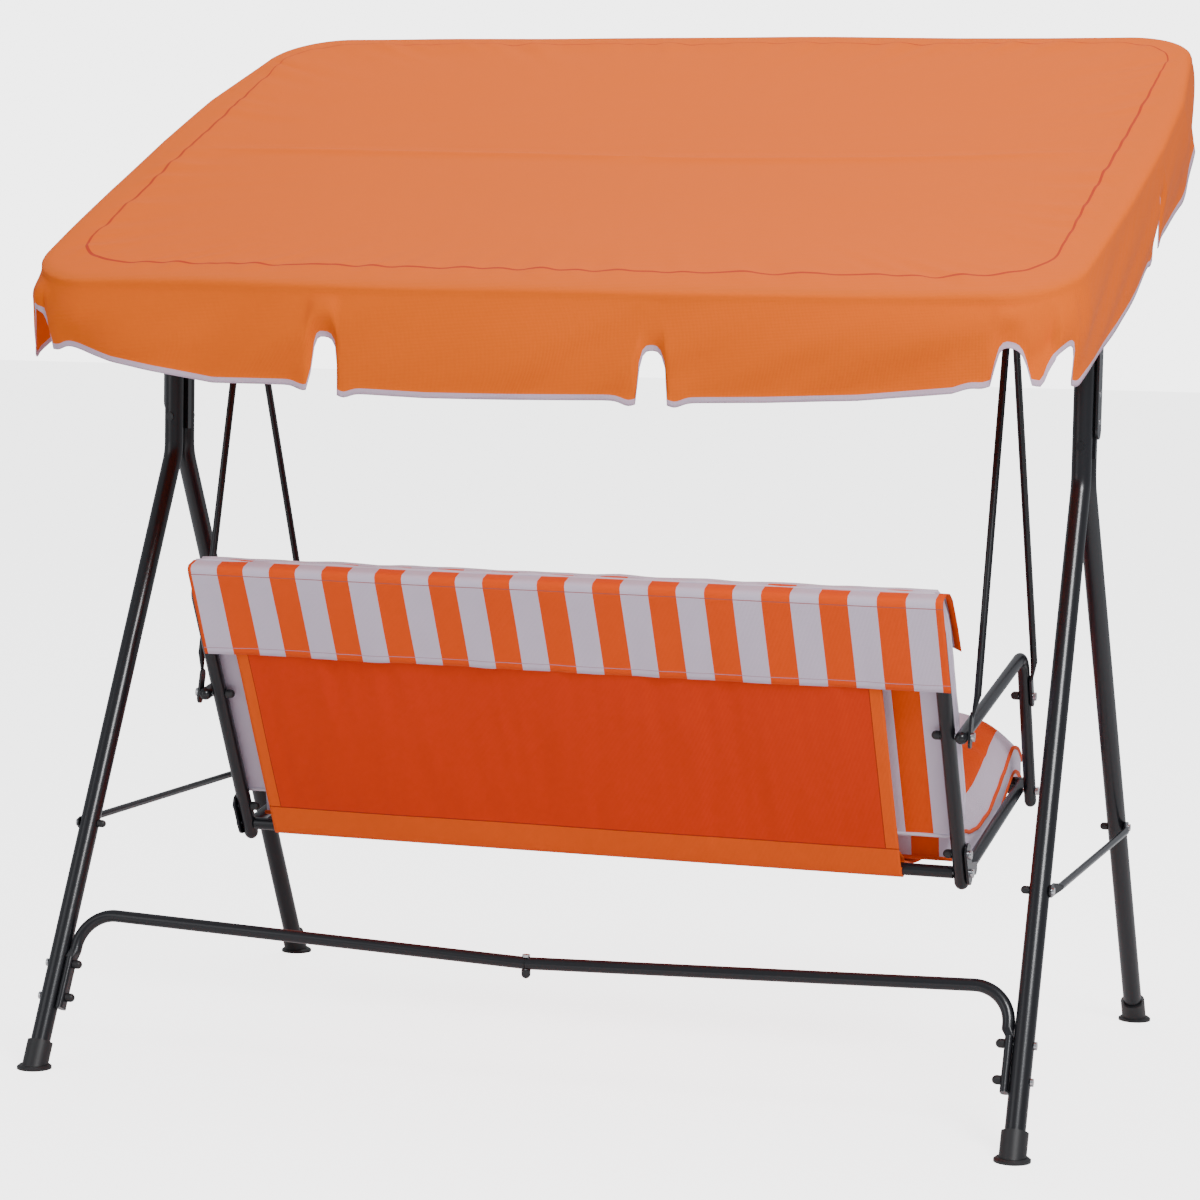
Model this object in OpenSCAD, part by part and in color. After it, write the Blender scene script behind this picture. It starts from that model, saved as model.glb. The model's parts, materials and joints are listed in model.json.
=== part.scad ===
// Three-seat garden glider swing with a tilting fabric canopy.
// Two tube A-frames carry a top crossbar. The seat hangs below it on four rods and swings
// about the crossbar's two pins. Axes: +Z up, -Y is where the sitters face, X along the bench.
// Every module works in swing coordinates (Y = 0 at the upright leg tops) and is then moved
// by in_frame() so that the origin is the bottom centre of the whole swing.

/* [Stand] */
// Distance from the centre plane to a foot
foot_x = 830; // [790:1:870]
// Distance from the leg tops back to a rear foot
foot_rear = 523; // [470:1:600]
// Distance from the leg tops forward to a front foot
foot_front = 600; // [540:1:680]
// Distance from the centre plane to the upright leg tops
post_x = 814; // [780:1:850]
// Height at which the legs bend upright
bend_h = 1012; // [900:1:1060]
// Height of the cut leg tops
leg_top_h = 1226; // [1190:1:1240]
// Outer diameter of the leg tube
leg_d = 33; // [28:0.5:38]
// Bend radius of the leg tube
leg_bend_r = 80; // [60:5:100]
// Wall of the leg and crossbar tubes
stand_wall = 1.2; // [0.8:0.1:2]
// Diameter of a foot's flange
foot_d = 58; // [50:1:70]
// Height of a foot's sleeve
foot_h = 46; // [36:1:60]
// Wall of a foot's sleeve
foot_wall = 5; // [3:0.5:7]

/* [Crossbar] */
// Height of the top crossbar's centre line
crossbar_h = 1392; // [1380:1:1410]
// Outer diameter of the crossbar tube
crossbar_d = 33; // [28:0.5:36]
// Bend radius of the crossbar's downturned ends
crossbar_bend_r = 62; // [50:1:80]
// Thickness of the crossbar's flattened ends
crimp_t = 14; // [10:0.5:18]
// Width of the crossbar's flattened ends
crimp_w = 39; // [34:0.5:42]

/* [Braces] */
// Height of the side brace bars
brace_h = 388; // [340:1:430]
// Outer diameter of a brace bar
brace_d = 12; // [10:0.5:16]
// Outer diameter of the rear stabiliser tube
stab_d = 20.5; // [18:0.5:24]
// Height of the stabiliser's outer corners
stab_h = 246; // [220:1:270]
// How far the stabiliser droops at its middle joint
stab_drop = 23; // [0:1:30]
// Bend radius of the stabiliser
stab_bend_r = 60; // [50:1:66]

/* [Swing] */
// Distance from the centre plane to the hanger rods
rod_x = 685; // [675:1:700]
// Height of the swing pins
pin_h = 1357; // [1350:1:1360]
// Outer diameter of a hanger rod
rod_d = 12.4; // [10:0.2:14]
// Diameter of a swing pin
pin_d = 10; // [8:0.5:12]
// Running clearance of the swing pins, on radius
pin_gap = 0.05; // [0.02:0.01:0.1]

/* [Seat frame] */
// Distance from the centre plane to a backrest post
back_x = 641.5; // [640:0.5:643]
// Outer diameter of the backrest posts
back_d = 25; // [22:0.5:26]
// Distance from the lower bar up to the top bar of the backrest
back_len = 523; // [430:1:560]
// Recline of the backrest from upright, in degrees
recline = 28; // [24:0.5:32]
// Distance behind the swing pins of the backrest's lower bar
back_y = 69; // [60:1:80]
// Height of the backrest's lower bar
back_h = 363; // [350:1:380]
// Outer diameter of the lower bar, the seat rails and the front bar
rail_d = 21; // [18:0.5:24]
// Distance from the centre plane to a seat rail
rail_x = 644; // [642:0.5:646]
// Upward slope of the seat rails towards the front, in degrees
rail_slope = 10.6; // [6:0.1:14]
// Distance from the lower bar forward to the front bar
seat_len = 500; // [420:1:560]
// Outer diameter of the armrest tube
arm_d = 21.5; // [18:0.5:24]
// Distance along the backrest post from the lower bar up to the armrest
arm_up = 277; // [240:1:300]
// Bend radius of the armrest's front corner
arm_bend_r = 42; // [36:1:50]
// Wall of the seat and canopy tubes
seat_wall = 1.1; // [0.8:0.1:1.6]

/* [Soft parts] */
// Half the width of the cushions
cushion_half = 646; // [560:1:650]
// Thickness of the back cushion
back_pad = 80; // [50:1:90]
// Height of the seat cushion above its sling's ends
seat_pad = 88; // [50:1:105]
// Sag of the seat sling in the middle
seat_sag = 52; // [20:1:60]
// Half the width of the slings
sling_half = 566; // [480:1:590]
// How far the back sling has slid to the left
sling_shift = 22; // [0:1:28]
// Thickness of sling and hood cloth
cloth_t = 2; // [1:0.5:3]
// Length of the hood's rear flap
flap_len = 168; // [120:1:220]

/* [Canopy] */
// Tilt of the canopy, rear edge down, in degrees
canopy_tilt = 22; // [14:0.5:26]
// Height of the canopy's tilt pivots
pivot_h = 1470; // [1462:1:1480]
// Height of the canopy tubes above the pivots
canopy_rise = 34; // [30:1:40]
// Distance along the canopy from the pivots back to the rear tube
canopy_rear = 511; // [460:1:560]
// Distance along the canopy from the pivots forward to the front tube
canopy_front = 718; // [640:1:780]
// Distance from the centre plane to a canopy side tube
canopy_x = 866; // [860:1:890]
// Outer diameter of the canopy tubes
canopy_d = 22; // [18:0.5:25]
// Bend radius of the canopy's corners
canopy_bend_r = 110; // [70:1:130]
// Depth of the canopy's scalloped edge
valance = 157; // [120:1:190]
// Height of the notches between the scallops
notch_h = 62; // [40:1:80]

/* [Hidden] */
$fn = 48;
fit = 0.1;      // play of a fixed fit, on radius
skin = 0.3;     // gap between soft and hard pieces, and between bodies
eps = 0.5;      // how far a cutting shape overruns its work
LEFT = 1;       // left and right are the sitters' own, so left is +X
RIGHT = -1;
REAR = 1;
FRONT = -1;

frame_black = [0.07, 0.07, 0.08];
cap_black = [0.12, 0.12, 0.13];
zinc = [0.75, 0.76, 0.78];
canopy_orange = [0.95, 0.45, 0.12];
sling_red = [0.82, 0.22, 0.12];
cushion_white = [0.86, 0.82, 0.88];

// ---- Places worked out from the sizes above ----
m8 = 4;                                     // radius of the frame bolts
m6 = 3;                                     // radius of the brace and stabiliser bolts
cap_r = 7.5;                                // radius of a nut cap
crimp_low = leg_top_h - 172;                // bottom of the crossbar's flattened ends
top_bolt_hs = [leg_top_h - 150, leg_top_h - 28];
crimp_top = leg_top_h + 14;                 // where the flattened ends start to round out
post_gap = crimp_t / 2 + fit;               // half the gap between front and rear legs
leg_y = post_gap + leg_d / 2;               // Y of an upright leg top
plate_t = 4;                                // thickness of the tilt plates
pivot_x = post_x + crimp_w / 2 + fit;       // inner face of a tilt plate
bracket_x = pivot_x + plate_t + 1;          // inner face of a canopy bracket
bracket_t = 3;
sin_c = sin(canopy_tilt);
cos_c = cos(canopy_tilt);
cover_gap = canopy_d / 2 + skin;            // from a canopy tube's centre to the cover
rear_edge = canopy_rear * cos_c + canopy_rise * sin_c + cover_gap + cloth_t;
front_edge = canopy_front * cos_c - canopy_rise * sin_c + cover_gap + cloth_t;
cover_half = canopy_x + cover_gap + cloth_t;
rear_reach = max(foot_rear + foot_d / 2, rear_edge);
front_reach = max(foot_front + foot_d / 2, front_edge);
frame_y = (front_reach - rear_reach) / 2;   // Y of the leg tops in the finished frame
rod_plate = 4;                              // thickness of a hanger's flattened end
arm_x = rail_x + rail_d / 2 + skin + arm_d / 2;
arm_outer = arm_x + arm_d / 2;
rod_low_x = arm_outer + skin + rod_plate / 2;
rail_end_t = 4;                             // thickness of a rail's flattened end
back_outer = back_x + back_d / 2;
back_inner = back_x - back_d / 2;

function unit(v) = v / norm(v);
function lerp(a, b, t) = a + (b - a) * t;
function sum(v, n) = n < 0 ? 0 : v[n] + sum(v, n - 1);

// Y and Z of a point a distance up the backrest from its lower bar
function back_at(s) = [back_y + s * sin(recline), back_h + s * cos(recline)];
// Y and Z of a point a distance along the seat rail from the lower bar
function rail_at(s) = [back_y - s * cos(rail_slope), back_h - 6 + s * sin(rail_slope)];

arm_rear = back_at(arm_up);
arm_foot = rail_at(seat_len - 38);
arm_slope = 10.2;                           // rise of the armrest towards the front
arm_lean = 21.8;                            // lean of the armrest's front post
// The corner is where the sloping top meets the leaning front post
arm_run = ((arm_rear[0] - arm_foot[0]) * cos(arm_lean)
    + (arm_foot[1] - arm_rear[1]) * sin(arm_lean)) / cos(arm_lean - arm_slope);
arm_corner = [arm_rear[0] - arm_run * cos(arm_slope), arm_rear[1] + arm_run * sin(arm_slope)];
arm_front_bolt = arm_corner + [-sin(arm_lean), -cos(arm_lean)] * 82;

// ---- General tube and fastener shapes ----

// Moves a piece from swing coordinates into the finished frame
module in_frame() { translate([0, frame_y, 0]) children(); }

// Turns the Z axis to run from a towards b, starting at a
module along(a, b) {
    d = b - a;
    translate(a) rotate([0, acos(d[2] / norm(d)), atan2(d[1], d[0])]) children();
}

// Straight round tube
module tube(a, b, d, wall) {
    along(a, b) difference() {
        cylinder(d = d, h = norm(b - a));
        translate([0, 0, -eps]) cylinder(d = d - 2 * wall, h = norm(b - a) + 2 * eps);
    }
}

// Bend of a tube at corner p, coming in along u and leaving along v
module bend(p, u, v, d, wall, r) {
    turn = acos(u * v);
    n = unit(v - (u * v) * u);
    w = cross(u, n);
    c = p - u * r * tan(turn / 2) + n * r;
    multmatrix([[-n[0], u[0], w[0], c[0]], [-n[1], u[1], w[1], c[1]],
        [-n[2], u[2], w[2], c[2]], [0, 0, 0, 1]])
        rotate_extrude(angle = turn) translate([r, 0]) difference() {
            circle(d = d);
            circle(d = d - 2 * wall);
        }
}

seam = 0.01;    // gap between a bend and its straight runs, which are separate solids

// Straight pipe along +Z
module pipe(d, wall, h) {
    difference() {
        cylinder(d = d, h = h);
        translate([0, 0, -eps]) cylinder(d = d - 2 * wall, h = h + 2 * eps);
    }
}

// Tube through three points with one bend at the middle point
module bent_tube(a, p, b, d, wall, r) {
    u = unit(p - a);
    v = unit(b - p);
    turn = acos(u * v);
    back = r * tan(turn / 2);
    n = unit(v - (u * v) * u);
    w = cross(u, n);
    c = p - u * back + n * r;
    multmatrix([[-n[0], u[0], w[0], c[0]], [-n[1], u[1], w[1], c[1]],
        [-n[2], u[2], w[2], c[2]], [0, 0, 0, 1]]) {
        rotate_extrude(angle = turn) translate([r, 0]) difference() {
            circle(d = d);
            circle(d = d - 2 * wall);
        }
        translate([r, -seam, 0]) rotate([90, 0, 0]) pipe(d, wall, norm(p - a) - back - seam);
        rotate(turn) translate([r, seam, 0]) rotate([-90, 0, 0])
            pipe(d, wall, norm(b - p) - back - seam);
    }
}

// Plug with a domed end that closes a tube of diameter d at point p, pointing from a to p
module round_end(a, p, d) {
    u = unit(p - a);
    along(p - u * 4, p) {
        cylinder(d = d - seat_wall, h = 4.5);
        translate([0, 0, 4]) rotate_extrude() intersection() {
            circle(d = d - 0.8);
            square([d, d]);
        }
    }
}

// Ring that ties an inner joining sleeve to its tube, on the X axis side k of point p
module tie_ring(p, d, inner) {
    translate(p) rotate([0, 90, 0]) difference() {
        cylinder(d = d - 1, h = 8, center = true);
        cylinder(d = inner, h = 10, center = true);
    }
}

// Flat plate with round ends, between two points on the YZ plane x = from .. from + t
module link_plate(p, q, width, from, t) {
    d = q - p;
    translate([from, p[0], p[1]]) rotate([atan2(d[1], d[0]), 0, 0]) rotate([90, 0, 90])
        linear_extrude(t) union() {
            translate([0, -width / 2]) square([norm(d), width]);
            circle(d = width);
            translate([norm(d), 0]) circle(d = width);
        }
}

// Bolt along X: head outside, shank inwards. side is LEFT or RIGHT, x0 the head's seat.
module x_bolt(side, x0, y, z, len, r, head_r, head_h) {
    translate([side * x0, y, z]) rotate([0, side * 90, 0]) {
        cylinder(r = head_r, h = head_h);
        translate([0, 0, -len]) cylinder(r = r, h = len);
    }
}

// Domed cap nut whose open end is at x0 and whose dome points to the centre plane
module x_cap(side, x0, y, z, r, bore) {
    translate([side * x0, y, z]) rotate([0, -side * 90, 0]) cap_nut(r, bore);
}

// Domed cap nut along +Z with a blind bore for its bolt
module cap_nut(r, bore) {
    difference() {
        union() {
            cylinder(r = r, h = 7);
            translate([0, 0, 7]) sphere(r = r - 0.01);
        }
        translate([0, 0, -eps]) cylinder(r = bore, h = 6 + eps);
    }
}

// Hole along X through everything between two distances from the centre plane
module x_hole(side, x0, x1, y, z, r) {
    translate([side * x0, y, z]) rotate([0, side * 90, 0]) cylinder(r = r, h = x1 - x0);
}

// ---- Stand ----

function leg_foot(side, end) = [side * foot_x, end > 0 ? foot_rear : -foot_front, 0];
function leg_bend(side, end) = [side * post_x, end * leg_y, bend_h];
function leg_dir(side, end) = unit(leg_bend(side, end) - leg_foot(side, end));
// Point on a leg's centre line at height h, below the bend
function leg_at(side, end, h) = lerp(leg_foot(side, end), leg_bend(side, end), h / bend_h);
leg_end_h = 14;                             // height of a leg's cut lower end

module leg(side, end) {
    color(frame_black) in_frame() difference() {
        bent_tube(leg_at(side, end, leg_end_h), leg_bend(side, end),
            [side * post_x, end * leg_y, leg_top_h], leg_d, stand_wall, leg_bend_r);
        for (h = top_bolt_hs) translate([side * post_x, -2 * leg_d, h]) rotate([-90, 0, 0])
            cylinder(r = m8 + fit, h = 4 * leg_d);
        leg_brace_hole(side, end);
        if (end == REAR) for (h = stab_bolt_hs) leg_x_hole(side, end, h);
    }
}

module leg_x_hole(side, end, h) {
    p = leg_at(side, end, h);
    x_hole(side, foot_x - 2 * leg_d, foot_x + 2 * leg_d, p[1], h, m6 + fit);
}

module leg_brace_hole(side, end) { leg_x_hole(side, end, brace_h); }

module foot(side, end) { mirror([side == end ? 1 : 0, 0, 0]) foot_piece(-end, end); }

module foot_piece(side, end) {
    f = leg_foot(side, end);
    d = leg_dir(side, end);
    color(cap_black) in_frame() difference() {
        union() {
            translate(f) cylinder(d = foot_d, h = 4);
            translate(f + [0, 0, 4]) cylinder(d1 = foot_d, d2 = foot_d - 8, h = 3);
            intersection() {
                along(f - d * foot_h, f + d * foot_h)
                    cylinder(d = leg_d + 2 * foot_wall, h = 2 * foot_h);
                translate([f[0] - foot_d, f[1] - foot_d, 0])
                    cube([2 * foot_d, 2 * foot_d, 2 * foot_h]);
            }
        }
        along(leg_at(side, end, leg_end_h - fit), leg_bend(side, end))
            cylinder(r = leg_d / 2 + fit, h = 2 * foot_h);
    }
}

// Half of the top crossbar: flattened end between the leg tops, bend, run to the middle
module crossbar(side) {
    corner = [side * post_x, 0, crossbar_h];
    round_h = crossbar_h - crossbar_bend_r;
    spigot = 70;
    sleeve_d = crossbar_d - 2 * stand_wall - 2 * fit;
    color(frame_black) in_frame() difference() {
        union() {
            translate([side * post_x, 0, crimp_low]) linear_extrude(crimp_top - crimp_low)
                square([crimp_w, crimp_t], center = true);
            hull() {
                translate([side * post_x, 0, crimp_top]) linear_extrude(0.5)
                    square([crimp_w, crimp_t], center = true);
                translate([side * post_x, 0, round_h - 10])
                    cylinder(d = crossbar_d - 0.6, h = 6, $fn = 32);
            }
            bent_tube([side * post_x, 0, round_h - 7], corner, [side * fit, 0, crossbar_h],
                crossbar_d, stand_wall, crossbar_bend_r);
            if (side == LEFT) {
                tube([spigot, 0, crossbar_h], [-spigot, 0, crossbar_h], sleeve_d, stand_wall);
                tie_ring([spigot / 2, 0, crossbar_h], crossbar_d, sleeve_d - 1);
            }
        }
        for (h = top_bolt_hs) translate([side * post_x, -crimp_w, h]) rotate([-90, 0, 0])
            cylinder(r = m8 + fit, h = 2 * crimp_w);
        for (h = tilt_screw_hs) x_hole(side, pivot_x - 8, pivot_x + 1, 0, h, m6 + fit);
    }
}

module leg_top_bolts() {
    reach = leg_y + leg_d / 2;
    color(frame_black) in_frame() for (side = [LEFT, RIGHT], h = top_bolt_hs)
        translate([side * post_x, reach + fit, h]) rotate([90, 0, 0]) {
            translate([0, 0, -3]) cylinder(r = 7, h = 3);
            cylinder(r = m8, h = 2 * reach + 6);
        }
}

module leg_top_nut_caps() {
    reach = leg_y + leg_d / 2;
    color(cap_black) in_frame() for (side = [LEFT, RIGHT], h = top_bolt_hs)
        translate([side * post_x, -reach - fit, h]) rotate([90, 0, 0]) cap_nut(cap_r, m8 + fit);
}

// ---- Swing pins under the crossbar ----

cheek_t = 3;
cheek_gap = rod_d / 2 + 2.6;                // from the rods' centre plane to a cheek
cheek_w = 30;
cheek_low = pin_h - 16;

module hanger_bracket(side) {
    web_h = crossbar_h - crossbar_d / 2 - 3.4;
    color(frame_black) in_frame() difference() {
        union() {
            for (k = [-1, 1]) translate([side * rod_x + k * (cheek_gap + cheek_t / 2) - cheek_t / 2,
                -cheek_w / 2, cheek_low]) cube([cheek_t, cheek_w, crossbar_h - cheek_low]);
            translate([side * rod_x - cheek_gap - cheek_t / 2, -cheek_w / 2, web_h])
                cube([2 * cheek_gap + cheek_t, cheek_w, crossbar_h - web_h]);
        }
        translate([side * rod_x - 2 * cheek_gap, 0, crossbar_h]) rotate([0, 90, 0])
            cylinder(r = crossbar_d / 2 + 0.02, h = 4 * cheek_gap);
        translate([side * rod_x - 2 * cheek_gap, 0, pin_h]) rotate([0, 90, 0])
            cylinder(r = pin_d / 2 + fit, h = 4 * cheek_gap);
    }
}

module swing_pins() {
    half = cheek_gap + cheek_t + fit;
    color(zinc) in_frame() for (side = [LEFT, RIGHT])
        translate([side * rod_x, 0, pin_h]) rotate([0, side * 90, 0]) {
            translate([0, 0, -half - 7]) cylinder(d = pin_d, h = 2 * half + 7);
            translate([0, 0, half]) cylinder(r = 8.5, h = 6, $fn = 6);
            translate([0, 0, -half - 7]) cylinder(r = 9, h = 7, $fn = 6);
        }
}

// ---- Side braces and rear stabiliser ----

brace_plate = 3;
brace_x = leg_at(LEFT, REAR, brace_h)[0] + leg_d / 2 + fit;
brace_pts = [for (end = [REAR, FRONT]) leg_at(LEFT, end, brace_h)[1]];
crimp_run = 26;                             // length of a small tube's crimp

// Small tube along Y with both ends flattened against the legs' outer side
module brace(side) {
    y0 = brace_pts[1];
    y1 = brace_pts[0];
    tube_x = brace_x + brace_d / 2 + 1;
    color(frame_black) in_frame() mirror([side < 0 ? 1 : 0, 0, 0]) difference() {
        union() {
            for (k = [0, 1]) {
                y = k == 0 ? y0 : y1;
                s = k == 0 ? 1 : -1;
                link_plate([y, brace_h], [y + s * 22, brace_h], 20, brace_x, brace_plate);
                hull() {
                    translate([brace_x + brace_plate / 2, y + s * 22, brace_h])
                        cube([brace_plate, 1, 19.6], center = true);
                    translate([tube_x, y + s * (22 + crimp_run), brace_h])
                        rotate([90, 0, 0]) cylinder(d = brace_d, h = 1, center = true, $fn = 32);
                }
            }
            along([tube_x, y0 + 22 + crimp_run, brace_h], [tube_x, y1, brace_h])
                cylinder(d = brace_d, h = y1 - y0 - 44 - 2 * crimp_run);
        }
        for (y = [y0, y1]) x_hole(LEFT, brace_x - 1, brace_x + 5, y, brace_h, m6 + fit);
    }
}

module brace_bolts() {
    color(zinc) in_frame() for (side = [LEFT, RIGHT], y = brace_pts)
        x_bolt(side, brace_x + brace_plate + fit, y, brace_h,
            brace_plate + leg_d + 4 * fit + 5, m6, 6.5, 4);
}

module brace_nut_caps() {
    x0 = brace_x - leg_d - 2 * fit;
    color(cap_black) in_frame() for (side = [LEFT, RIGHT], y = brace_pts)
        x_cap(side, x0, y, brace_h, cap_r - 1, m6 + fit);
}

stab_bolt_hs = [112, 164];
stab_t = 13;                                // thickness of the stabiliser's flattened ends
stab_w = 25;                                // width of the stabiliser's flattened ends
stab_wall = 1.1;
stab_low_h = 94;
stab_flat_h = 174;
// Distance from the centre plane to the stabiliser's end, against the legs' inner side
function stab_x(h) = leg_at(LEFT, REAR, h)[0] - leg_d / 2 - 2 * fit - stab_t / 2;
function stab_pt(side, h) = [side * stab_x(h), leg_at(LEFT, REAR, h)[1], h];

module stabiliser(side) {
    low = stab_pt(side, stab_low_h);
    flat = stab_pt(side, stab_flat_h);
    corner = stab_pt(side, stab_h) - [side * ((stab_d - stab_t) / 2 + fit), 0, 0];
    mid = stab_mid();
    u = unit(flat - low);
    v = unit(mid - corner);
    back = stab_bend_r * tan(acos(u * v) / 2);
    start = corner - u * back;
    sleeve_d = stab_d - 2 * stab_wall - 2 * fit;
    meet = fit + abs(v[2]) * stab_d / 2; // keeps the sloping ends clear of each other
    color(frame_black) in_frame() difference() {
        union() {
            along(low, flat) linear_extrude(norm(flat - low)) {
                square([stab_w - stab_t, stab_t], center = true);
                for (k = [-1, 1]) translate([k * (stab_w - stab_t) / 2, 0]) circle(d = stab_t);
            }
            hull() {
                along(flat - u, flat) linear_extrude(0.5)
                    square([stab_w - 4, stab_t - 0.4], center = true);
                along(start - u * 9, corner) cylinder(d = stab_d - 0.5, h = 5, $fn = 32);
            }
            bent_tube(start - u * 6.5, corner, mid - v * meet, stab_d, stab_wall, stab_bend_r);
            if (side == LEFT) {
                tube(mid - v * 45, mid, sleeve_d, stab_wall);
                tube(mid - v * 14, mid + v * 14, sleeve_d - 3.4, stab_wall);
                along(mid - v * 34, mid) difference() {
                    cylinder(d = stab_d - 1, h = 8);
                    translate([0, 0, -1]) cylinder(d = sleeve_d - 1, h = 10);
                }
            }
        }
        for (h = stab_bolt_hs) x_hole(side, stab_x(h) - stab_t, stab_x(h) + stab_t,
            leg_at(LEFT, REAR, h)[1], h, m6 + fit);
        translate(mid - [0, 0, 2 * stab_d]) cylinder(r = m6 + fit, h = 4 * stab_d);
    }
}

function stab_mid() = [0, leg_at(LEFT, REAR, stab_h - stab_drop)[1], stab_h - stab_drop];

module stabiliser_bolts() {
    color(zinc) in_frame() {
        for (side = [LEFT, RIGHT], h = stab_bolt_hs)
            x_bolt(side, leg_at(LEFT, REAR, h)[0] + leg_d / 2 + fit, leg_at(LEFT, REAR, h)[1], h,
                leg_d + stab_t + 6 * fit + 5, m6, 6.5, 4);
        translate(stab_mid() + [0, 0, stab_d / 2 + fit]) {
            cylinder(r = 6.5, h = 4);
            translate([0, 0, -stab_d - 6]) cylinder(r = m6, h = stab_d + 6);
        }
    }
}

module stabiliser_nut_caps() {
    color(cap_black) in_frame() {
        for (side = [LEFT, RIGHT], h = stab_bolt_hs)
            x_cap(side, stab_x(h) - stab_t / 2 - 2 * fit, leg_at(LEFT, REAR, h)[1], h,
                cap_r, m6 + fit);
        translate(stab_mid() - [0, 0, stab_d / 2 + 0.6]) rotate([180, 0, 0])
            cap_nut(cap_r, m6 + fit);
    }
}

// ---- Canopy tilt pivots ----

tilt_screw_hs = [leg_top_h - 112, leg_top_h - 66];
tilt_pin = 5;                               // radius of a tilt pivot
knob_r = 15;
knob_x = bracket_x + bracket_t + skin;      // inner face of a tilt knob

module tilt_plate(side) {
    color(frame_black) in_frame() mirror([side < 0 ? 1 : 0, 0, 0]) difference() {
        link_plate([0, leg_top_h - 124], [0, pivot_h], 34, pivot_x, plate_t);
        for (h = tilt_screw_hs) x_hole(LEFT, pivot_x - 1, pivot_x + 6, 0, h, m6 + fit);
        x_hole(LEFT, pivot_x - 1, pivot_x + 6, 0, pivot_h, tilt_pin + fit);
    }
}

module tilt_bolts() {
    color(zinc) in_frame() for (side = [LEFT, RIGHT]) {
        for (h = tilt_screw_hs) translate([side * (pivot_x + plate_t + fit), 0, h])
            rotate([0, side * 90, 0]) {
                cylinder(r = 5.5, h = 0.6);
                translate([0, 0, -11]) cylinder(r = m6, h = 11);
            }
        translate([side * (pivot_x - fit), 0, pivot_h]) rotate([0, side * 90, 0]) {
            translate([0, 0, -4]) cylinder(r = 9, h = 4);
            cylinder(r = tilt_pin, h = knob_x - pivot_x + 12);
        }
    }
}

// Round grip with a bore that turns on the tilt pivot
module tilt_knob(side) {
    color(cap_black) in_frame() translate([side * knob_x, 0, pivot_h]) rotate([0, side * 90, 0])
        difference() {
            union() {
                cylinder(r = 9, h = 6);
                translate([0, 0, 5]) cylinder(r = knob_r, h = 8);
                translate([0, 0, 13]) cylinder(r1 = knob_r, r2 = knob_r - 3, h = 3);
            }
            translate([0, 0, -eps]) cylinder(r = tilt_pin + pin_gap, h = 13 + eps);
            for (a = [0 : 45 : 315]) rotate(a) translate([knob_r + 3, 0, 4.5])
                cylinder(r = 5, h = 20);
        }
}

// ---- Canopy ----

// Places pieces drawn in the canopy's own plane: Y back along it, Z square to it
module tilted() {
    in_frame() translate([0, 0, pivot_h]) rotate([-canopy_tilt, 0, 0]) children();
}

canopy_join = canopy_x - canopy_bend_r - 50; // where side and cross tubes meet

module canopy_side(side) {
    far = [side * canopy_x, -canopy_front, canopy_rise];
    near = [side * canopy_x, canopy_rear, canopy_rise];
    r = canopy_bend_r;
    color(frame_black) tilted() {
        tube([side * canopy_join, far[1], far[2]], far - [side * r, 0, 0], canopy_d, seat_wall);
        bend(far, [side, 0, 0], [0, 1, 0], canopy_d, seat_wall, r);
        tube(far + [0, r, 0], near - [0, r, 0], canopy_d, seat_wall);
        bend(near, [0, 1, 0], [-side, 0, 0], canopy_d, seat_wall, r);
        tube(near - [side * r, 0, 0], [side * canopy_join, near[1], near[2]], canopy_d, seat_wall);
    }
}

// Straight cross tube at canopy Y, with narrower ends that plug into both side tubes
module canopy_cross(y) {
    half = canopy_join - fit;
    plug_d = canopy_d - 2 * seat_wall - 2 * fit;
    color(frame_black) tilted() {
        tube([-half, y, canopy_rise], [half, y, canopy_rise], canopy_d, seat_wall);
        for (k = [-1, 1]) tube([k * (half - 30), y, canopy_rise], [k * (half + 35), y, canopy_rise],
            plug_d, seat_wall);
        for (k = [-1, 1]) tie_ring([k * (half - 12), y, canopy_rise], canopy_d, plug_d - 1);
    }
}

module canopy_bracket(side) {
    low = canopy_rise - canopy_d / 2 - 4;
    color(frame_black) tilted() mirror([side < 0 ? 1 : 0, 0, 0]) difference() {
        union() {
            link_plate([0, 0], [0, canopy_rise - 12], 34, bracket_x, bracket_t);
            translate([bracket_x + bracket_t + 0.01, -22, low])
                cube([canopy_x - bracket_x - bracket_t - 0.01, 44, canopy_rise - low]);
        }
        translate([canopy_x, -40, canopy_rise]) rotate([-90, 0, 0])
            cylinder(r = canopy_d / 2 + 0.02, h = 80);
        x_hole(LEFT, bracket_x - 1, bracket_x + bracket_t + 1, 0, 0, tilt_pin + pin_gap);
    }
}

// Plan outline of the canopy cover, grown outwards by t, with corners in short flats
module cover_plan(t) {
    half = canopy_x + cover_gap + t;
    back = rear_edge - cloth_t + t;
    front = front_edge - cloth_t + t;
    r = (canopy_bend_r + cover_gap) * cos_c + t;
    corners = [[half - r, back - r], [r - half, back - r], [r - half, r - front],
        [half - r, r - front]];
    polygon([for (k = [0 : 3]) for (i = [0 : 18])
        corners[k] + r * [cos(90 * k + 5 * i), sin(90 * k + 5 * i)]]);
}

// Space between two heights in the canopy's own plane
module cover_slab(low, high) {
    translate([0, 0, pivot_h]) rotate([-canopy_tilt, 0, 0])
        translate([-1500, -1500, low]) cube([3000, 3000, high - low]);
}

module cover_prism(t) {
    translate([0, 0, 700]) linear_extrude(1600) cover_plan(t);
}

module notch() {
    linear_extrude(4000, center = true)
        polygon([[-95, -8], [-44, notch_h * 0.34], [-14, notch_h * 0.82], [0, notch_h],
            [14, notch_h * 0.82], [44, notch_h * 0.34], [95, -8]]);
}

scallop = 555;                              // width of one scallop
notch_x = 329;                              // place of one notch along the rear edge
notch_y = -100;                             // place of one notch along a side edge

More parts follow.
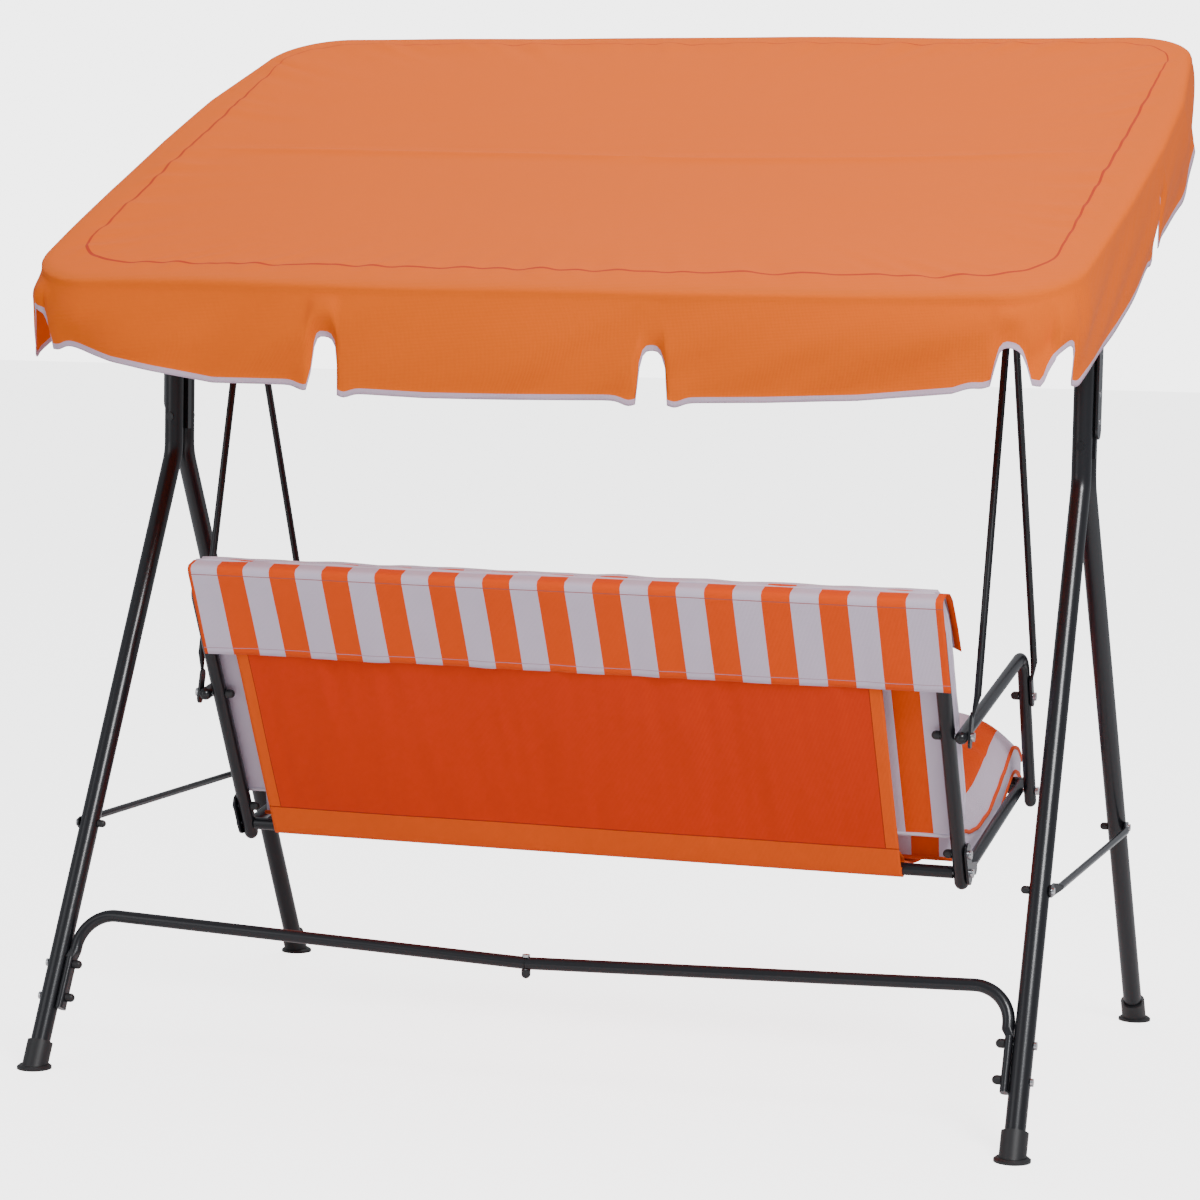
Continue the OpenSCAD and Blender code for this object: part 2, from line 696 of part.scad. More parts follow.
module canopy_cover() {
    under = canopy_rise + cover_gap;
    top = under + cloth_t;
    hem = top - valance * cos_c;
    color(canopy_orange) in_frame() difference() {
        intersection() {
            cover_prism(cloth_t);
            cover_slab(hem, top);
        }
        intersection() {
            cover_prism(0);
            cover_slab(hem - 300, under);
        }
        translate([0, 0, pivot_h]) rotate([-canopy_tilt, 0, 0]) translate([0, 0, hem]) {
            for (i = [-2 : 1]) translate([notch_x + i * scallop, 0, 0]) rotate([90, 0, 0]) notch();
            for (i = [-1 : 1]) translate([0, notch_y + i * scallop, 0]) rotate([90, 0, 90]) notch();
        }
    }
}

// ---- Hanger rods ----

// Tapered end of a rod, from inside its flat plate at a to just inside the round rod at b
module swage(a, b) {
    along(a, b) cylinder(d1 = rod_plate - 0.6, d2 = rod_d - 0.4, h = norm(b - a));
}

// Rod from the swing pin to point q (Y, Z); layer puts its flat upper end beside the other's
module hanger(side, q, layer) {
    p = [0, pin_h];
    d = unit(q - p);
    len = norm(q - p);
    up_x = rod_x + layer * (rod_plate / 2 + skin / 2);
    top_round = p + d * 58;
    low_round = q - d * 66;
    color(frame_black) in_frame() mirror([side < 0 ? 1 : 0, 0, 0]) difference() {
        union() {
            link_plate(p, p + d * 30, 20, up_x - rod_plate / 2, rod_plate);
            swage([up_x, p[0] + d[0] * 26, p[1] + d[1] * 26],
                [rod_x, top_round[0] + d[0] * 3, top_round[1] + d[1] * 3]);
            along([rod_x, top_round[0] + d[0] * 1.5, top_round[1] + d[1] * 1.5],
                [rod_x, low_round[0], low_round[1]])
                cylinder(d = rod_d, h = norm(low_round - top_round) - 3);
            swage([rod_low_x, q[0] - d[0] * 28, q[1] - d[1] * 28],
                [rod_x, low_round[0] - d[0] * 3, low_round[1] - d[1] * 3]);
            link_plate(q - d * 32, q + d * 10, 18, rod_low_x - rod_plate / 2, rod_plate);
        }
        x_hole(LEFT, up_x - rod_plate, up_x + rod_plate, p[0], p[1], pin_d / 2 + pin_gap);
        x_hole(LEFT, rod_low_x - rod_plate, rod_low_x + rod_plate, q[0], q[1], m8 + fit);
    }
}

// ---- Seat frame ----

module arm(side) {
    back_end = arm_rear + [cos(arm_slope), -sin(arm_slope)] * 9;
    foot_end = arm_foot + [-sin(arm_lean), -cos(arm_lean)] * 22;
    color(frame_black) in_frame() difference() {
        union() {
            bent_tube([side * arm_x, back_end[0], back_end[1]],
                [side * arm_x, arm_corner[0], arm_corner[1]],
                [side * arm_x, foot_end[0], foot_end[1]], arm_d, seat_wall, arm_bend_r);
            for (e = [back_end, foot_end]) round_end([side * arm_x, arm_corner[0], arm_corner[1]],
                [side * arm_x, e[0], e[1]], arm_d);
        }
        for (q = [arm_rear, arm_front_bolt, arm_foot])
            x_hole(side, arm_x - arm_d, arm_x + arm_d, q[0], q[1], m8 + fit);
    }
}

plate_holes = [back_at(0), back_at(38)];

// The bend starts beyond the edge of the sling's top pocket
back_bend_r = min(60, back_x - sling_shift - sling_half - 2);

module back_frame(side) {
    low = back_at(-20);
    top = back_at(back_len);
    end_x = side == LEFT ? fit : -fit;
    plug_d = back_d - 2 * seat_wall - 2 * fit;
    color(frame_black) in_frame() difference() {
        union() {
            bent_tube([side * back_x, low[0], low[1]], [side * back_x, top[0], top[1]],
                [end_x, top[0], top[1]], back_d, seat_wall, back_bend_r);
            round_end([side * back_x, top[0], top[1]], [side * back_x, low[0], low[1]], back_d);
            if (side == LEFT) {
                tube([60, top[0], top[1]], [-60, top[0], top[1]], plug_d, seat_wall);
                tie_ring([30, top[0], top[1]], back_d, plug_d - 1);
            }
        }
        for (q = concat([arm_rear], plate_holes))
            x_hole(side, back_x - back_d, back_x + back_d, q[0], q[1], m8 + fit);
    }
}

bar_end = back_inner - 2 * fit;             // end of the lower bar

// Bar along X with solid plugs drilled for its end screws
module plugged_bar(half, q, d) {
    difference() {
        translate([-half, q[0], q[1]]) rotate([0, 90, 0]) cylinder(d = d, h = 2 * half);
        translate([-half + 30, q[0], q[1]]) rotate([0, 90, 0])
            cylinder(d = d - 2 * seat_wall, h = 2 * half - 60);
    }
}

module back_lower_bar() {
    q = back_at(0);
    color(frame_black) in_frame() difference() {
        plugged_bar(bar_end, q, rail_d);
        for (side = [LEFT, RIGHT]) x_hole(side, bar_end - 24, bar_end + 1, q[0], q[1], m8 + fit);
    }
}

joint_plate = 4;
joint_x = back_outer + fit;                 // inner face of a rail's joint plate

module seat_rail(side) {
    a = rail_at(19);
    b = rail_at(seat_len - rail_d / 2 - fit);
    c = rail_at(seat_len - 40);
    color(frame_black) in_frame() mirror([side < 0 ? 1 : 0, 0, 0]) difference() {
        union() {
            tube([rail_x, a[0], a[1]], [rail_x, b[0], b[1]], rail_d, seat_wall);
            along([rail_x, c[0], c[1]], [rail_x, b[0], b[1]]) cylinder(d = rail_d - 1, h = norm(b - c));
            link_plate(back_at(-6), back_at(44), 30, joint_x, joint_plate);
            link_plate(back_at(8), rail_at(44), 22, joint_x + 0.05, joint_plate - 0.4);
        }
        for (q = plate_holes) x_hole(LEFT, joint_x - 1, joint_x + 6, q[0], q[1], m8 + fit);
        x_hole(LEFT, rail_x - rail_d, rail_x + rail_d, arm_foot[0], arm_foot[1], m8 + fit);
        along([rail_x, c[0], c[1]], [rail_x, b[0], b[1]]) cylinder(r = m6 + fit, h = 40);
    }
}

module seat_front_bar() {
    q = rail_at(seat_len);
    color(frame_black) in_frame() difference() {
        plugged_bar(rail_x + rail_d / 2, q, rail_d);
        for (side = [LEFT, RIGHT]) along([side * rail_x, rail_at(seat_len - 30)[0],
            rail_at(seat_len - 30)[1]], [side * rail_x, q[0], q[1]])
            cylinder(r = m6 + fit, h = 60);
    }
}

module arm_bolts() {
    head_x = rod_low_x + rod_plate / 2 + fit;
    color(zinc) in_frame() for (side = [LEFT, RIGHT]) {
        x_bolt(side, head_x, arm_rear[0], arm_rear[1], head_x - back_inner + 5, m8, 7.5, 5);
        x_bolt(side, head_x, arm_front_bolt[0], arm_front_bolt[1],
            head_x - arm_x + arm_d / 2 + 5, m8, 7.5, 5);
        x_bolt(side, arm_outer + fit, arm_foot[0], arm_foot[1],
            arm_outer - rail_x + rail_d / 2 + 5, m8, 7.5, 5);
    }
}

module arm_nut_caps() {
    color(cap_black) in_frame() for (side = [LEFT, RIGHT]) {
        x_cap(side, back_inner - fit, arm_rear[0], arm_rear[1], cap_r, m8 + fit);
        x_cap(side, arm_x - arm_d / 2 - fit, arm_front_bolt[0], arm_front_bolt[1],
            cap_r, m8 + fit);
        x_cap(side, rail_x - rail_d / 2 - fit, arm_foot[0], arm_foot[1], cap_r, m8 + fit);
    }
}

module rail_bolts() {
    head_x = joint_x + joint_plate + fit;
    q = rail_at(seat_len + rail_d / 2 + fit);
    color(zinc) in_frame() for (side = [LEFT, RIGHT]) {
        x_bolt(side, head_x, plate_holes[0][0], plate_holes[0][1], head_x - bar_end + 22,
            m8, 7.5, 5);
        x_bolt(side, head_x, plate_holes[1][0], plate_holes[1][1], head_x - back_inner + 5,
            m8, 7.5, 5);
        along([side * rail_x, q[0], q[1]], [side * rail_x, rail_at(0)[0], rail_at(0)[1]]) {
            translate([0, 0, -3]) cylinder(r = 6, h = 3);
            cylinder(r = m6, h = rail_d + 14);
        }
    }
}

module rail_nut_caps() {
    color(cap_black) in_frame() for (side = [LEFT, RIGHT])
        x_cap(side, back_inner - fit, plate_holes[1][0], plate_holes[1][1], cap_r, m8 + fit);
}

// ---- Slings, cushions and hood ----

// Extrudes a Y-Z outline along X, from x0 over width w
module yz_solid(x0, w) {
    translate([x0, 0, 0]) rotate([90, 0, 90]) linear_extrude(w) children();
}

// Left-hand unit normal of a path at point i
function path_n(p, i) = let (d = unit(p[min(i + 1, len(p) - 1)] - p[max(i - 1, 0)])) [-d[1], d[0]];

// Strip of thickness t along a path
module ribbon(p, t) {
    n = len(p) - 1;
    polygon(concat([for (i = [0 : n]) p[i] - path_n(p, i) * t / 2],
        [for (i = [n : -1 : 0]) p[i] + path_n(p, i) * t / 2]));
}

module loop(q, r) {
    translate(q) difference() {
        circle(r = r + cloth_t);
        circle(r = r);
    }
}

// Y and Z of a point m in front of the backrest's middle plane, s up from the lower bar
function pad_at(s, m) = back_at(s) - [cos(recline), -sin(recline)] * m;

top_r = back_d / 2 + skin;
low_r = rail_d / 2 + skin;
wrap_r = low_r + cloth_t + skin;            // the seat sling's loop goes round the back sling's

tuck = 0.15;                                // how far a loop's edge laps into its sheet

module back_sling() {
    color(sling_red) in_frame() yz_solid(sling_shift - sling_half, 2 * sling_half) difference() {
        union() {
            ribbon([pad_at(0, tuck - low_r - cloth_t / 2),
                pad_at(back_len, tuck - top_r - cloth_t / 2)], cloth_t);
            loop(back_at(0), low_r);
            loop(back_at(back_len), top_r);
        }
        translate(back_at(0)) circle(r = low_r);
        translate(back_at(back_len)) circle(r = top_r);
    }
}

// Upper face of the seat sling, t from 0 at the rear bar to 1 at the front bar
function sling_top(t) = lerp(back_at(0) + [0, wrap_r + cloth_t],
    rail_at(seat_len) + [0, low_r + cloth_t], t) - [0, 4 * seat_sag * t * (1 - t)];

module seat_sling() {
    color(sling_red) in_frame() yz_solid(sling_shift - sling_half, 2 * sling_half) difference() {
        union() {
            ribbon([for (i = [0 : 12]) sling_top(i / 12) - [0, cloth_t / 2 + tuck]], cloth_t);
            difference() {
                loop(back_at(0), wrap_r);
                translate(back_at(0)) rotate(-recline) translate([0, 1]) square([40, 40]);
            }
            loop(rail_at(seat_len), low_r);
        }
        translate(back_at(0)) circle(r = wrap_r);
        translate(rail_at(seat_len)) circle(r = low_r);
    }
}

seat_half = rail_x - rail_d / 2 - 5;        // half width of the seat cushion
seat_rear = 34;                             // how far its rear edge keeps from the lower bar

module seat_cushion() {
    t0 = (seat_rear + 8) / seat_len;
    front = rail_at(seat_len + 112);
    low = concat([for (i = [0 : 7]) sling_top(lerp(t0, 1, i / 8)) + [0, 2 * skin]],
        [for (y = [16, 0]) sling_top(1) + [y, 2 * skin]]);
    rear = low[0];
    color(cushion_white) in_frame() difference() {
        yz_solid(-seat_half, 2 * seat_half)
            polygon(concat(low, [front + [6, -6], front + [-8, 22], front + [4, 50],
                rail_at(seat_len + 60) + [0, 12 + seat_pad * 0.82],
                rail_at(seat_len) + [0, 20 + seat_pad * 0.9],
                rail_at(seat_len * 0.5) + [0, 36 + seat_pad],
                rail_at(seat_len * 0.25) + [0, 46 + seat_pad]],
                [rear + [-62, 88], rear + [-32, 30]]));
        for (side = [LEFT, RIGHT]) x_hole(side, seat_half - 20, seat_half + 20,
            arm_foot[0], arm_foot[1], cap_r + 1);
    }
}

pad_low = 60;                               // bottom of the back cushion above the lower bar
pad_gap = top_r + cloth_t + skin;
hood_top = back_len + back_d / 2 + 4;

module back_cushion() {
    top = hood_top - 3;
    color(cushion_white) in_frame() yz_solid(-cushion_half, 2 * cushion_half)
        polygon([pad_at(pad_low, pad_gap), pad_at(top - 14, pad_gap), pad_at(top - 27, pad_gap + 22),
            pad_at(top - 46, pad_gap + 46), pad_at(top - 80, pad_gap + back_pad * 0.72),
            pad_at(back_len * 0.5, pad_gap + back_pad * 0.9),
            pad_at(pad_low + 56, pad_gap + back_pad), pad_at(pad_low + 18, pad_gap + back_pad * 0.86),
            pad_at(pad_low - 2, pad_gap + back_pad * 0.5)]);
}

hood_half = 650;
hood_rear = top_r + cloth_t + skin + cloth_t / 2;

module back_hood() {
    color(cushion_white) in_frame() yz_solid(-hood_half - 8, 2 * hood_half)
        ribbon([pad_at(hood_top + 4 - flap_len, -hood_rear), pad_at(hood_top, -hood_rear),
            pad_at(hood_top + 4, -hood_rear + 5), pad_at(hood_top - 2, 16),
            pad_at(hood_top - 22, pad_gap + 38), pad_at(hood_top - 44, pad_gap + 60),
            pad_at(hood_top - 90, pad_gap + back_pad * 0.72 + 8),
            pad_at(hood_top - 130, pad_gap + back_pad * 0.74 + 12)], cloth_t);
}

leg(LEFT, REAR);  // leg_rear_left
leg(RIGHT, REAR);  // leg_rear_right
leg(LEFT, FRONT);  // leg_front_left
leg(RIGHT, FRONT);  // leg_front_right
foot(LEFT, REAR);  // foot_rear_left
foot(RIGHT, REAR);  // foot_rear_right
foot(LEFT, FRONT);  // foot_front_left
foot(RIGHT, FRONT);  // foot_front_right
crossbar(LEFT);  // crossbar_left
crossbar(RIGHT);  // crossbar_right
hanger_bracket(LEFT);  // hanger_bracket_left
hanger_bracket(RIGHT);  // hanger_bracket_right
swing_pins();
brace(LEFT);  // brace_left
brace(RIGHT);  // brace_right
stabiliser(LEFT);  // stabiliser_left
stabiliser(RIGHT);  // stabiliser_right
leg_top_bolts();
leg_top_nut_caps();
brace_bolts();
brace_nut_caps();
stabiliser_bolts();
stabiliser_nut_caps();
tilt_plate(LEFT);  // tilt_plate_left
tilt_plate(RIGHT);  // tilt_plate_right
tilt_bolts();
tilt_knob(LEFT);  // tilt_knob_left
tilt_knob(RIGHT);  // tilt_knob_right
canopy_side(LEFT);  // canopy_side_left
canopy_side(RIGHT);  // canopy_side_right
canopy_cross(-canopy_front);  // canopy_front_tube
canopy_cross(canopy_rear);  // canopy_rear_tube
canopy_bracket(LEFT);  // canopy_bracket_left
canopy_bracket(RIGHT);  // canopy_bracket_right
canopy_cover();
hanger(LEFT, arm_rear, 1);  // hanger_rear_left
hanger(RIGHT, arm_rear, 1);  // hanger_rear_right
hanger(LEFT, arm_front_bolt, -1);  // hanger_front_left
hanger(RIGHT, arm_front_bolt, -1);  // hanger_front_right
arm(LEFT);  // arm_left
arm(RIGHT);  // arm_right
back_frame(LEFT);  // back_frame_left
back_frame(RIGHT);  // back_frame_right
back_lower_bar();
seat_rail(LEFT);  // seat_rail_left
seat_rail(RIGHT);  // seat_rail_right
seat_front_bar();
arm_bolts();
arm_nut_caps();
rail_bolts();
rail_nut_caps();
back_sling();
seat_sling();
back_cushion();
seat_cushion();
back_hood();
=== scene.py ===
import json

from math import cos, exp, pi, radians, sin

import bmesh
import bpy
from mathutils import Matrix, Vector, noise


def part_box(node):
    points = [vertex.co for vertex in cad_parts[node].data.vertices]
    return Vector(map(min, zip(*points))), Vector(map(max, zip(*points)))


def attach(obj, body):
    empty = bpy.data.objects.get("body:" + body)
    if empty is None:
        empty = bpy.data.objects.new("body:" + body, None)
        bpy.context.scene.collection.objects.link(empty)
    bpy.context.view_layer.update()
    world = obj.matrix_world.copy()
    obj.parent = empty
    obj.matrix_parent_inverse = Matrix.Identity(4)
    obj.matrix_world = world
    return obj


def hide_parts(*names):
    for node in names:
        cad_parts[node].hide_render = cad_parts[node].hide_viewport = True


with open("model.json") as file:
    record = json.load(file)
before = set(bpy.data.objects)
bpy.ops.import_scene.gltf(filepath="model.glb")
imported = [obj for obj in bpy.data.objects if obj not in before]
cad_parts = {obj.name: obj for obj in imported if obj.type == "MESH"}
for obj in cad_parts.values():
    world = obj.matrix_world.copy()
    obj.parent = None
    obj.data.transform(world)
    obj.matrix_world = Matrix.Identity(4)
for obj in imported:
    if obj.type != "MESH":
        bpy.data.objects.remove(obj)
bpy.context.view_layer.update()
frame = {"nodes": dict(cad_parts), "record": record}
nodes = frame["nodes"]
slot_of = {p["node"]: p["material_slot"] for p in frame["record"]["subparts"]}
joint = {j["name"]: j for j in frame["record"]["behaviour"]["joints"]}

# ---- Steel tubes, brackets and hangers ----
# Thin steel tube, bent, crimped flat at its ends and powder coated satin black.
# The coat is a little uneven. Its clear coat is tinted blue as a painted cool reflection, so the highlights look
# bluish.


def new_material(name, colour, rough, metal=0.0, specular=0.5):
    m = bpy.data.materials.new(name)
    m.use_nodes = True
    b = m.node_tree.nodes["Principled BSDF"]
    b.inputs["Base Color"].default_value = (*colour, 1)
    b.inputs["Roughness"].default_value = rough
    b.inputs["Metallic"].default_value = metal
    b.inputs["Specular IOR Level"].default_value = specular
    return m, m.node_tree.nodes, m.node_tree.links, b


def fine_grain(m, scale, height, distance=0.0004):
    n, l = m.node_tree.nodes, m.node_tree.links
    where = n.new("ShaderNodeTexCoord")
    grain = n.new("ShaderNodeTexNoise")
    grain.inputs["Scale"].default_value = scale
    grain.inputs["Detail"].default_value = 3
    bump = n.new("ShaderNodeBump")
    bump.inputs["Strength"].default_value = height
    bump.inputs["Distance"].default_value = distance
    l.new(where.outputs["Object"], grain.inputs["Vector"])
    l.new(grain.outputs["Fac"], bump.inputs["Height"])
    l.new(bump.outputs["Normal"], n["Principled BSDF"].inputs["Normal"])
    return grain


paint, n, l, b = new_material("black_paint", (0.008, 0.008, 0.010), 0.32, 0.0, 0.38)
b.inputs["Coat Weight"].default_value = 0.35
b.inputs["Coat Roughness"].default_value = 0.16
# Painted reflection: the blue coat tint gives the paint's highlights a cool colour that stands for the cool light they
# reflect.
b.inputs["Coat Tint"].default_value = (0.85, 0.9, 1, 1)
grain = fine_grain(paint, 380, 0.35)
wear = n.new("ShaderNodeMapRange")
wear.inputs["To Min"].default_value = 0.24
wear.inputs["To Max"].default_value = 0.38
l.new(grain.outputs["Fac"], wear.inputs["Value"])
l.new(wear.outputs["Result"], b.inputs["Roughness"])

# ---- Feet, nut caps and tilt knobs ----
# Moulded black plastic with a fine matt grain. The feet are pushed over the leg ends, the caps
# close the nuts on the inner side of each joint, and the knobs clamp the canopy's tilt.
plastic, n, l, b = new_material("black_plastic", (0.016, 0.016, 0.018), 0.46)
fine_grain(plastic, 900, 0.5, 0.0003)

# ---- Bolts and swing pins ----
# Bright zinc plated steel, faintly streaked by the plating.
zinc, n, l, b = new_material("zinc_steel", (0.62, 0.63, 0.66), 0.26, 1.0)
fine_grain(zinc, 520, 0.25)

finish_of = {"black_paint": paint, "black_plastic": plastic, "zinc_steel": zinc}
for name, o in nodes.items():
    m = finish_of.get(slot_of[name])
    if m:
        o.data.materials.clear()
        o.data.materials.append(m)

# ---- Canopy cover ----
# One fitted cover of thin woven polyester: a top panel sewn to a scalloped valance that hangs
# over the tubes. The seam round the top is doubled and darker, the scalloped hem is bound in
# pale tape, and the sides billow a little beyond the side tubes.
tilt = radians(22)
pivot = Vector(joint["canopy_tilt"]["pos_m"])
tube_lo, tube_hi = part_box("canopy_side_left")
half = tube_hi.x + 0.0025
rear_l, front_l, corner_r = 0.5245, -0.7315, 0.1235


def on_canopy(x, y, z):
    return Vector((x, pivot.y + y * cos(tilt) + z * sin(tilt), pivot.z - y * sin(tilt) + z * cos(tilt)))


def read_off(points, x):
    if x <= points[0][0]:
        return points[0][1]
    for (x0, y0), (x1, y1) in zip(points, points[1:]):
        if x <= x1:
            return y0 + (y1 - y0) * (x - x0) / (x1 - x0)
    return points[-1][1]


def rim(count):
    """Points and outward directions evenly round the canopy's outline, from the left side."""
    hx, hy = half - corner_r, (rear_l - front_l) / 2 - corner_r
    mid = (rear_l + front_l) / 2
    arc = pi / 2 * corner_r
    lengths = [2 * hy, arc, 2 * hx, arc, 2 * hy, arc, 2 * hx, arc]
    total = sum(lengths)
    for i in range(count + 1):
        d = total * i / count
        k = 0
        while k < 7 and d > lengths[k]:
            d -= lengths[k]
            k += 1
        turn = (k // 2) * pi / 2
        if k % 2 == 0:
            run = hy if k % 4 == 0 else hx
            side = half if k % 4 == 0 else hy + corner_r
            p, q = (side, d - run), (1, 0)
        else:
            a = d / corner_r
            cx, cy = (hx, hy) if k % 4 == 1 else (hy, hx)
            p, q = (cx + corner_r * cos(a), cy + corner_r * sin(a)), (cos(a), sin(a))
        c, s = round(cos(turn)), round(sin(turn))
        yield (
            p[0] * c - p[1] * s, p[0] * s + p[1] * c + mid,
            q[0] * c - q[1] * s, q[0] * s + q[1] * c, total * i / count,
        )


side_billow = [
    (0.0, 0.0), (0.15, 0.010), (0.35, 0.022), (0.6, 0.030), (0.82, 0.030), (0.95, 0.018), (1.08, 0.004), (1.18, 0.0),
]
rear_hem = [
    (-0.93, 0.10), (-0.84, 0.108), (-0.75, 0.118), (-0.70, 0.135), (-0.55, 0.150), (-0.40, 0.157), (-0.26, 0.161),
    (-0.14, 0.160), (0.0, 0.163), (0.15, 0.164), (0.29, 0.160), (0.37, 0.150), (0.52, 0.150), (0.625, 0.134),
    (0.70, 0.121), (0.80, 0.092), (0.90, 0.072),
]
rear_notches = [(-0.787, 0.054), (-0.220, 0.080), (0.329, 0.084), (0.852, 0.052)]
side_notches = [-0.63, -0.112, 0.44]
front_notches = [-0.78, -0.226, 0.329, 0.80]


def slot(d, height):
    """Height of a notch with steep sides and a rounded top, d from its middle; its lips hang a little lower."""
    arch = height * max(0.0, 1 - (abs(d) / 0.025) ** 3.2) ** 0.5
    return arch - 0.007 * exp(-(((abs(d) - 0.038) / 0.016) ** 2))


def scallop(p, notches, depth):
    d = min(abs(p - q) for q in notches)
    return depth - slot(d, 0.080) - 0.010 * exp(-((d / 0.14) ** 2))


columns, inner, over, down = 1000, 26, 8, 30
rows = inner + over + down
bm = bmesh.new()
bmesh.ops.create_grid(bm, x_segments=columns, y_segments=rows, size=1)
uv = bm.loops.layers.uv.new("cloth")
outline = list(rim(columns))
cloth = {}
for v in bm.verts:
    i = round((v.co.x + 1) / 2 * columns)
    k = round((v.co.y + 1) / 2 * rows)
    x, y, nx, ny, run = outline[i % columns]
    s = 0.4487 - y
    seam_y = -0.685 + (y - front_l) / (rear_l - front_l) * (0.4487 + 0.685)
    seam_x = x * (0.820 + 0.028 * (0.4487 - seam_y) / 1.134) / half
    is_rear = max(0, ny) ** 2
    is_side = nx * nx
    depth = (
        (read_off(rear_hem, x) - sum(slot(x - q, h) for q, h in rear_notches)) * is_rear
        + scallop(y * cos(tilt), side_notches, 0.163) * is_side
        + scallop(x, front_notches, 0.160) * max(0, -ny) ** 2
    )
    bulge = read_off(side_billow, s) * abs(nx) ** 0.6
    edge_x = x + (bulge if x > 0 else -bulge)
    edge_y = y + 0.006 * ny * (1 - (x / half) ** 2)
    if k <= inner:
        f = k / inner
        px, py = seam_x * f, -0.118 + (seam_y + 0.118) * f
        fade = (1 - (px / 0.86) ** 2) * max(0, 1 - ((py + 0.118) / 0.57) ** 2)
        crease = 0.004 * exp(-(((py + 0.115 + 0.01 * sin(px * 5)) / 0.012) ** 2)) * (1 - f**8)
        gather = noise.noise(Vector((run * 22, 2.2, f * 3)))
        pucker = 0.006 * exp(-((1 - f) / 0.10)) * gather + 0.003 * exp(-(((1 - f) / 0.03) ** 2))
        pz = 0.0475 - 0.016 * fade + crease + pucker + 0.002 * noise.noise(Vector((px * 4, py * 5, 0.3)))
        v.co = on_canopy(px, py, pz)
        cloth[v] = (px, py, 1.0 + (1 - f) * 0.6)
    elif k <= inner + over:
        a = (k - inner) / over * pi / 2
        f, g = sin(a) ** 0.5, cos(a) ** 0.5 if k < inner + over else 0.0
        px, py = seam_x + (edge_x - seam_x) * f, seam_y + (edge_y - seam_y) * f
        puff = 0.004 * sin(a * 2) * (0.4 + noise.noise(Vector((run * 3.1, 7.7, 0))))
        pz = 0.0475 - 0.013 * (1 - g) + max(0, puff)
        v.co = on_canopy(px, py, pz)
        cloth[v] = (run, f, 0.5)
    else:
        f = (k - inner - over) / down
        w = f * depth
        base = on_canopy(edge_x, edge_y, 0.0345)
        slant = run * (1 if is_rear > 0.5 else 0.7) + w * 1.5
        broad = noise.noise(Vector((slant * 4.2, f * 0.8, 1.5)))
        fine = noise.noise(Vector((slant * 10, f * 1.5, 4.5)))
        fold = 0.014 * broad + 0.006 * fine
        lean = 0.010 * sin(pi * min(1, f * 1.1)) + 0.004 * f
        out = (lean + fold * f**0.7 * 2.2) * (1 - 0.5 * is_side)
        v.co = base + Vector((nx * out, ny * out, -w))
        cloth[v] = (run, depth - w, 0.0)
for f in bm.faces:
    f.smooth = True
    for lp in f.loops:
        a, b_, c = cloth[lp.vert]
        lp[uv].uv = (c, b_) if c < 0.25 else (c, 0.5)
bmesh.ops.remove_doubles(bm, verts=bm.verts, dist=1e-5)
bmesh.ops.recalc_face_normals(bm, faces=bm.faces)
cover_area = sum(f.calc_area() for f in bm.faces)
mesh = bpy.data.meshes.new("canopy_cloth")
bm.to_mesh(mesh)
bm.free()
canopy_cloth = bpy.data.objects.new("canopy_cloth", mesh)
bpy.context.collection.objects.link(canopy_cloth)
thick = canopy_cloth.modifiers.new("cloth", "SOLIDIFY")
thick.thickness = 0.0012
thick.offset = -1


def woven(name, colour, rough, see_through, weave=900.0):
    """Thin plain-woven cloth: fine threads, soft sheen and some light coming through."""
    m, n, l, b = new_material(name, colour, rough, 0.0, 0.12)
    b.inputs["Sheen Weight"].default_value = 0.05
    b.inputs["Sheen Roughness"].default_value = 0.45
    where = n.new("ShaderNodeTexCoord")
    heights = []
    for axis in "XZ":
        wave = n.new("ShaderNodeTexWave")
        wave.bands_direction = axis
        wave.inputs["Scale"].default_value = weave / 6.283
        wave.inputs["Distortion"].default_value = 0.4
        l.new(where.outputs["Object"], wave.inputs["Vector"])
        heights.append(wave.outputs["Fac"])
    add = n.new("ShaderNodeMath")
    l.new(heights[0], add.inputs[0])
    l.new(heights[1], add.inputs[1])
    soft = n.new("ShaderNodeTexNoise")
    soft.inputs["Scale"].default_value = 22
    soft.inputs["Detail"].default_value = 4
    l.new(where.outputs["Object"], soft.inputs["Vector"])
    mix = n.new("ShaderNodeMath")
    mix.operation = "MULTIPLY_ADD"
    mix.inputs[1].default_value = 3.0
    l.new(soft.outputs["Fac"], mix.inputs[0])
    l.new(add.outputs["Value"], mix.inputs[2])
    bump = n.new("ShaderNodeBump")
    bump.inputs["Strength"].default_value = 0.35
    bump.inputs["Distance"].default_value = 0.0008
    l.new(mix.outputs["Value"], bump.inputs["Height"])
    l.new(bump.outputs["Normal"], b.inputs["Normal"])
    out = n["Material Output"]
    if see_through:
        glow = n.new("ShaderNodeBsdfTranslucent")
        glow.inputs["Color"].default_value = (*colour, 1)
        share = n.new("ShaderNodeMixShader")
        share.inputs["Fac"].default_value = see_through
        l.new(b.outputs["BSDF"], share.inputs[1])
        l.new(glow.outputs["BSDF"], share.inputs[2])
        l.new(share.outputs["Shader"], out.inputs["Surface"])
    return m, n, l, b


def band(n, l, value, low, high):
    """1 where value lies between low and high, else 0."""
    mid, reach = (low + high) / 2, (high - low) / 2
    c = n.new("ShaderNodeMath")
    c.operation = "COMPARE"
    c.inputs[1].default_value = mid
    c.inputs[2].default_value = reach
    l.new(value, c.inputs[0])
    return c.outputs["Value"]


def tint(n, l, base, colour, where):
    """base with colour laid over it where the mask is 1."""
    mx = n.new("ShaderNodeMix")
    mx.data_type = "RGBA"
    l.new(where, mx.inputs["Factor"])
    if isinstance(base, tuple):
        mx.inputs["A"].default_value = (*base, 1)
    else:
        l.new(base, mx.inputs["A"])
    mx.inputs["B"].default_value = (*colour, 1)
    return mx.outputs["Result"]


